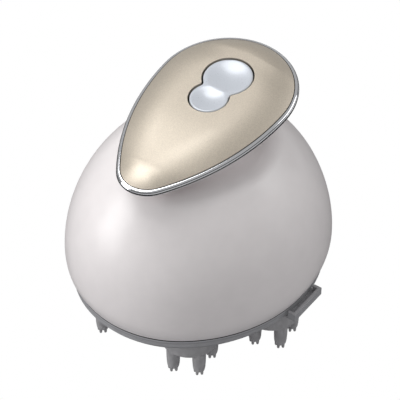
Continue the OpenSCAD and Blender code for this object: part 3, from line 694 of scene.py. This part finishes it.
def peanut(grow):
    """Outline of the two lobes grown by some mm, in one turn: arcs of the two circles, joined on
    each side by an arc of the waist fillet about its own centre."""
    large, small, fillet = LARGE_R + grow, SMALL_R + grow, WAIST_FILLET - grow
    apart = LARGE_X - SMALL_X
    # centre of the fillet, from the centre of the large lobe
    across = (apart ** 2 + (large + fillet) ** 2 - (small + fillet) ** 2) / (2 * apart)
    aside = math.sqrt((large + fillet) ** 2 - across ** 2)
    large_end = math.atan2(aside, -across)
    small_end = math.atan2(aside, apart - across)
    round_large = np.linspace(-large_end, large_end, 80)
    round_small = np.linspace(small_end, 2 * math.pi - small_end, 80)
    waist = np.linspace(large_end - math.pi, small_end - math.pi, 22)[1:-1]
    return np.concatenate([
        np.stack([LARGE_X + large * np.cos(round_large), large * np.sin(round_large)], 1),
        np.stack([LARGE_X - across + fillet * np.cos(waist), aside + fillet * np.sin(waist)], 1),
        np.stack([SMALL_X + small * np.cos(round_small), small * np.sin(round_small)], 1),
        np.stack([LARGE_X - across + fillet * np.cos(waist[::-1]),
                  -aside - fillet * np.sin(waist[::-1])], 1)])


def facing(hole, edge, middle):
    """For each point of an edge, the point of a hole that lies in the same direction from a middle,
    read between the hole's own points."""
    def direction(points):
        return np.unwrap(np.arctan2(points[:, 1] - middle[1], points[:, 0] - middle[0]))

    turn = direction(hole)
    turns = np.concatenate([turn - 2 * math.pi, turn, turn + 2 * math.pi])
    order = np.argsort(turns)
    thrice = np.concatenate([hole] * 3)[order]
    return np.stack([np.interp(direction(edge), turns[order], thrice[:, i]) for i in (0, 1)], 1)


def crown(x, inset):
    """Panel height over its rim: near a parabola of the inset, which levels off before the middle line
    so that no ridge stands there; the middle line itself falls toward the narrow end."""
    level_reach, narrow_reach, blend = 18.0, 12.75, 1.2
    fall_start, fall_run, fall_share = -4, 38, 0.26
    middle = np.clip(inset_of(handle_arcs(), x, np.zeros_like(x)), narrow_reach, None)
    # the smaller of the level reach and the middle line's inset, blended softly
    reach = level_reach - np.logaddexp(0, (level_reach - middle) / blend) * blend
    u = np.clip((inset - LEDGE) / (reach - LEDGE), 0, 1)
    fall = np.clip((fall_start - x) / fall_run, 0, 1)
    top = shape().panel_crown * (1 - fall_share * fall ** 2 * (3 - 2 * fall))
    return top * (1 - (1 - u) ** 2.1)


class MASSAGER_OT_panel(bpy.types.Operator):
    """Gold panel: straight lines from the rim to the button opening, raised by the crown, with a
    rolled lip at the opening and an underside at an even thickness"""
    bl_idname = "massager.panel"
    bl_label = "Gold panel"

    def execute(self, context):
        rim, underside = shape().bezel_z + RIM_H, shape().bezel_z + 1.26
        thickness, step = 1.7, 0.8
        arcs = handle_arcs()
        edge = parallel(arcs, LEDGE, step)
        middle = np.array([15.0, 0.0])
        opening = facing(peanut(0.05), edge, middle)
        share = np.linspace(0, 1, 56)[None, :, None] ** 1.1
        flat = edge[:, None] * (1 - share) + opening[:, None] * share
        inset = inset_of(arcs, flat[..., 0], flat[..., 1])
        top = np.concatenate([flat, (rim + crown(flat[..., 0], inset))[..., None]], -1)
        # the edge of the opening rolls over and goes down into the slot
        outward = opening - middle
        outward /= np.linalg.norm(outward, axis=1, keepdims=True)
        roll = [(0, -0.02), (0.03, -0.1), (0.05, -0.25), (0.05, -thickness)]
        lip = np.stack([np.concatenate([opening - outward * toward, top[:, -1, 2:] + down], -1)
                        for toward, down in roll], 1)
        skirt = [level(parallel(arcs, inset, step), underside)[:, None] for inset in (3.6, LEDGE)]
        back = top[:, ::-5].copy()
        back[..., 2] -= thickness
        points = np.concatenate([*skirt, top, lip, back[:, 1:-1]], 1)
        obj = surface("gold_sheet", tilted(points), wrap_v=True, sharp=50)
        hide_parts("gold_panel")
        dress(obj, "champagne", "housing")
        return {"FINISHED"}


def dish(x, y, centre, radius, depth):
    """Depth of a round hollow: the power 1.5 of a paraboloid, so that it starts level at its edge."""
    return depth * np.clip(1 - ((x - centre) ** 2 + y ** 2) / radius ** 2, 0, None) ** 1.5


class MASSAGER_OT_button(bpy.types.Operator):
    """Rocker button: the peanut form filled from its spine to its outline, with a round hollow in
    each lobe, a soft saddle between them and an eased edge"""
    bl_idname = "massager.button"
    bl_label = "Rocker button"

    def execute(self, context):
        gap, sink, depth, edge = 0.6, 0.2, 4.0, 0.7
        crest = shape().bezel_z + RIM_H + shape().panel_crown
        outer = even(peanut(-gap), 220, closed=True)
        spine = np.stack([np.clip(outer[:, 0], SMALL_X, LARGE_X), np.zeros(len(outer))], 1)
        share = (1 - np.linspace(1, 0, 34) ** 1.6)[None, :, None]
        flat = spine[:, None] * (1 - share) + outer[:, None] * share
        x, y = flat[..., 0], flat[..., 1]
        z = crest - sink - dish(x, y, LARGE_X + 0.6, 9.3, 1.15) - dish(x, y, SMALL_X - 0.5, 7.2, 1.05)
        near = np.clip(1 - np.linalg.norm(outer[:, None] - flat, axis=-1) / edge, 0, 1)
        z -= edge * (1 - np.sqrt(np.clip(1 - near ** 2, 0, 1)))
        face = np.concatenate([flat, z[..., None]], -1)
        foot = crest - depth
        side = np.stack([level(outer, h) for h in (face[:, -1, 2].mean() - 1.0, foot)], 1)
        under = level(spine, foot)[:, None]
        obj = surface("rocker_cap", tilted(np.concatenate([face, side, under], 1)))
        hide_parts("rocker_button")
        dress(obj, "button_pearl", "button")
        return {"FINISHED"}


# ---------------------------------------------------------------- studio

def any_ray(tree, *kinds):
    """One where a ray is of any of these kinds, as Light Path tells them, and zero elsewhere."""
    path = node(tree, "ShaderNodeLightPath")
    told = path.outputs[kinds[0]]
    for kind in kinds[1:]:
        told = node(tree, "ShaderNodeMath", {0: told, 1: path.outputs[kind]},
                    operation="MAXIMUM").outputs[0]
    return told


def paper_floor():
    """Floor of pale paper, which the camera, mirrors and clear parts see as plain white."""
    along = np.linspace(-1500, 1500, 9)
    x, y = np.meshgrid(along, along, indexing="ij")
    floor = surface("floor", np.stack([x, y, np.full_like(x, FLOOR_Z)], -1), wrap_u=False)
    m = bpy.data.materials.new("Pale paper")
    t = cleared(m)
    where = node(t, "ShaderNodeTexCoord").outputs["Object"]
    tone = node(t, "ShaderNodeTexNoise", {"Vector": where, "Scale": 1000 / 2.5})
    rough = node(t, "ShaderNodeMapRange", {"Value": tone.outputs[0], "To Min": 0.85, "To Max": 0.95})
    paper = node(t, "ShaderNodeBsdfPrincipled", {"Base Color": linear("#C4C4C6"),
                                                 "Roughness": rough.outputs[0]})
    white = node(t, "ShaderNodeEmission", {"Color": (1, 1, 1, 1), "Strength": 1.0})
    seen = any_ray(t, "Is Camera Ray", "Is Glossy Ray", "Is Transmission Ray")
    mix = node(t, "ShaderNodeMixShader", {0: seen, 1: paper.outputs[0], 2: white.outputs[0]})
    node(t, "ShaderNodeOutputMaterial", {"Surface": mix.outputs[0]})
    floor.data.materials.append(m)
    return floor


def studio_room(strength):
    """Even room light, which the camera and clear parts see as plain white."""
    world = bpy.data.worlds.new("Studio room")
    t = cleared(world)
    room = node(t, "ShaderNodeBackground", {"Color": (1, 1, 1, 1), "Strength": strength})
    bright = node(t, "ShaderNodeBackground", {"Color": (1, 1, 1, 1), "Strength": 1.0})
    seen = any_ray(t, "Is Camera Ray", "Is Transmission Ray")
    mix = node(t, "ShaderNodeMixShader", {0: seen, 1: room.outputs[0], 2: bright.outputs[0]})
    node(t, "ShaderNodeOutputWorld", {"Surface": mix.outputs[0]})
    return world


def softbox(scene, name, at, size, watts):
    """Rectangular lamp at a place in mm, aimed at the middle of the massager."""
    aim = Vector((0, 0, 60)) * MM
    lamp = bpy.data.lights.new(name, "AREA")
    lamp.shape = "RECTANGLE"
    lamp.size, lamp.size_y = size[0] * MM, size[1] * MM
    lamp.energy = watts
    obj = bpy.data.objects.new(name, lamp)
    obj.location = Vector(at) * MM
    obj.rotation_euler = (aim - obj.location).to_track_quat("-Z", "Y").to_euler()
    scene.collection.objects.link(obj)


def black_flag():
    """Black felt on the floor, met by reflections alone: it draws the dark lines in the chrome."""
    turn = np.linspace(0, 2 * math.pi, 49)[:-1, None]
    reach = np.linspace(2, 900, 12)[None, :]
    x, y = reach * np.cos(turn), reach * np.sin(turn)
    flag = surface("black_flag", np.stack([x, y, np.full_like(x, FLOOR_Z + 0.5)], -1))
    felt = bpy.data.materials.new("Black felt")
    felt.use_nodes = True
    shader = felt.node_tree.nodes["Principled BSDF"]
    shader.inputs["Base Color"].default_value = linear("#101012")
    shader.inputs["Roughness"].default_value = 1.0
    flag.data.materials.append(felt)
    flag.visible_camera = flag.visible_diffuse = flag.visible_shadow = False
    flag.visible_transmission = False
    return flag


def camera_at_photo(scene):
    """Camera at the photograph's angle: out past the narrow end on the -y side, looking down."""
    elevation, azimuth, distance = math.radians(42.4), math.radians(54), 770
    aim = Vector((-0.73, -1.0, 57.82))
    cam = bpy.data.cameras.new("Camera")
    cam.lens, cam.sensor_width = 163.4, 36.0
    cam.clip_end = 20000 * MM
    out = Vector((-math.sin(azimuth) * math.cos(elevation), -math.cos(azimuth) * math.cos(elevation),
                  math.sin(elevation)))
    obj = bpy.data.objects.new("Camera", cam)
    obj.location = (aim + distance * out) * MM
    obj.rotation_euler = out.to_track_quat("Z", "Y").to_euler()
    scene.collection.objects.link(obj)
    scene.camera = obj


class MASSAGER_OT_stage(bpy.types.Operator):
    """Studio: pale floor, soft lights, camera at the photograph's angle"""
    bl_idname = "massager.stage"
    bl_label = "Studio"

    def execute(self, context):
        scene = context.scene
        studio = scene.massager_studio
        paper_floor()
        scene.world = studio_room(studio.world)
        softbox(scene, "Overhead softbox", (-40, 340, 800), (550, 500), studio.top)
        softbox(scene, "Left softbox", (-550, 550, 300), (400, 500), studio.side)
        softbox(scene, "Right softbox", (620, -500, 550), (500, 500), studio.fill)
        black_flag()
        camera_at_photo(scene)
        scene.view_settings.view_transform = "Standard"
        return {"FINISHED"}


# ---------------------------------------------------------------- add-on

STEPS = [MASSAGER_OT_finishes, MASSAGER_OT_dome, MASSAGER_OT_base, MASSAGER_OT_head,
         MASSAGER_OT_discs, MASSAGER_OT_tray, MASSAGER_OT_bezel, MASSAGER_OT_panel,
         MASSAGER_OT_button, MASSAGER_OT_stage]

GROUPS = {"massager_shape": MassagerShape, "massager_finish": MassagerFinish,
          "massager_studio": MassagerStudio}


class MASSAGER_PT_panel(bpy.types.Panel):
    """Lists the steps and settings of the scalp massager"""
    bl_idname = "MASSAGER_PT_panel"
    bl_label = "Scalp massager"
    bl_space_type = "VIEW_3D"
    bl_region_type = "UI"
    bl_category = "Massager"

    def draw(self, context):
        for group in GROUPS:
            settings = getattr(context.scene, group)
            box = self.layout.box()
            for name in settings.__annotations__:
                box.prop(settings, name)
        for step in STEPS:
            self.layout.operator(step.bl_idname)


def register():
    """Registers the classes and hangs the settings on the scene."""
    for cls in (*GROUPS.values(), *STEPS, MASSAGER_PT_panel):
        bpy.utils.register_class(cls)
    for name, cls in GROUPS.items():
        setattr(bpy.types.Scene, name, bpy.props.PointerProperty(type=cls))


def unregister():
    """Takes the settings and the classes away again."""
    for name in GROUPS:
        delattr(bpy.types.Scene, name)
    for cls in reversed((*GROUPS.values(), *STEPS, MASSAGER_PT_panel)):
        bpy.utils.unregister_class(cls)


def main():
    """Builds the massager and its studio."""
    register()
    bpy.ops.massager.finishes()
    bpy.ops.massager.dome()
    bpy.ops.massager.base()
    bpy.ops.massager.head()
    bpy.ops.massager.discs()
    bpy.ops.massager.tray()
    bpy.ops.massager.bezel()
    bpy.ops.massager.panel()
    bpy.ops.massager.button()
    bpy.ops.massager.stage()


if __name__ == "__main__":
    main()
